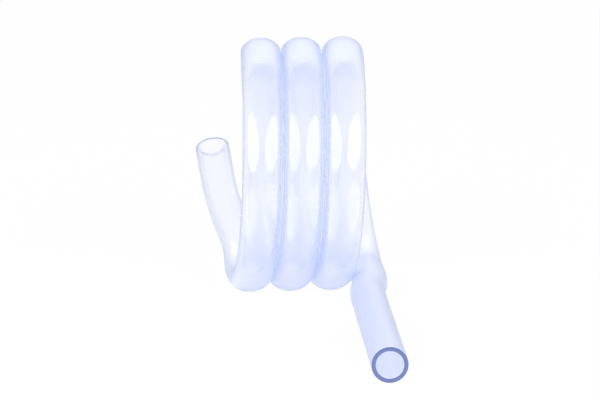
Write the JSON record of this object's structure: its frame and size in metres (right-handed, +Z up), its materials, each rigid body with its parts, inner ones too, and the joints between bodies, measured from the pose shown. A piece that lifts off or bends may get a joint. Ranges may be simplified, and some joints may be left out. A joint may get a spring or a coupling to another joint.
{
  "type": "silicone tubing coil",
  "caption": "Length of clear flexible tubing wound into a close, standing coil, with one open cut end lying straight in front and the other rising behind.",
  "frame": {"origin": "on the standing surface, under the middle of the part's box", "axes": "+X along the coil's axis, +Y from the front end towards the rear end, +Z up"},
  "size_m": [0.0672, 0.2022, 0.0952],
  "materials": {
    "clear_silicone": "glossy, clear with a faint blue tint"
  },
  "bodies": {
    "root": {"tubing": "clear_silicone"}
  },
  "joints": []
}
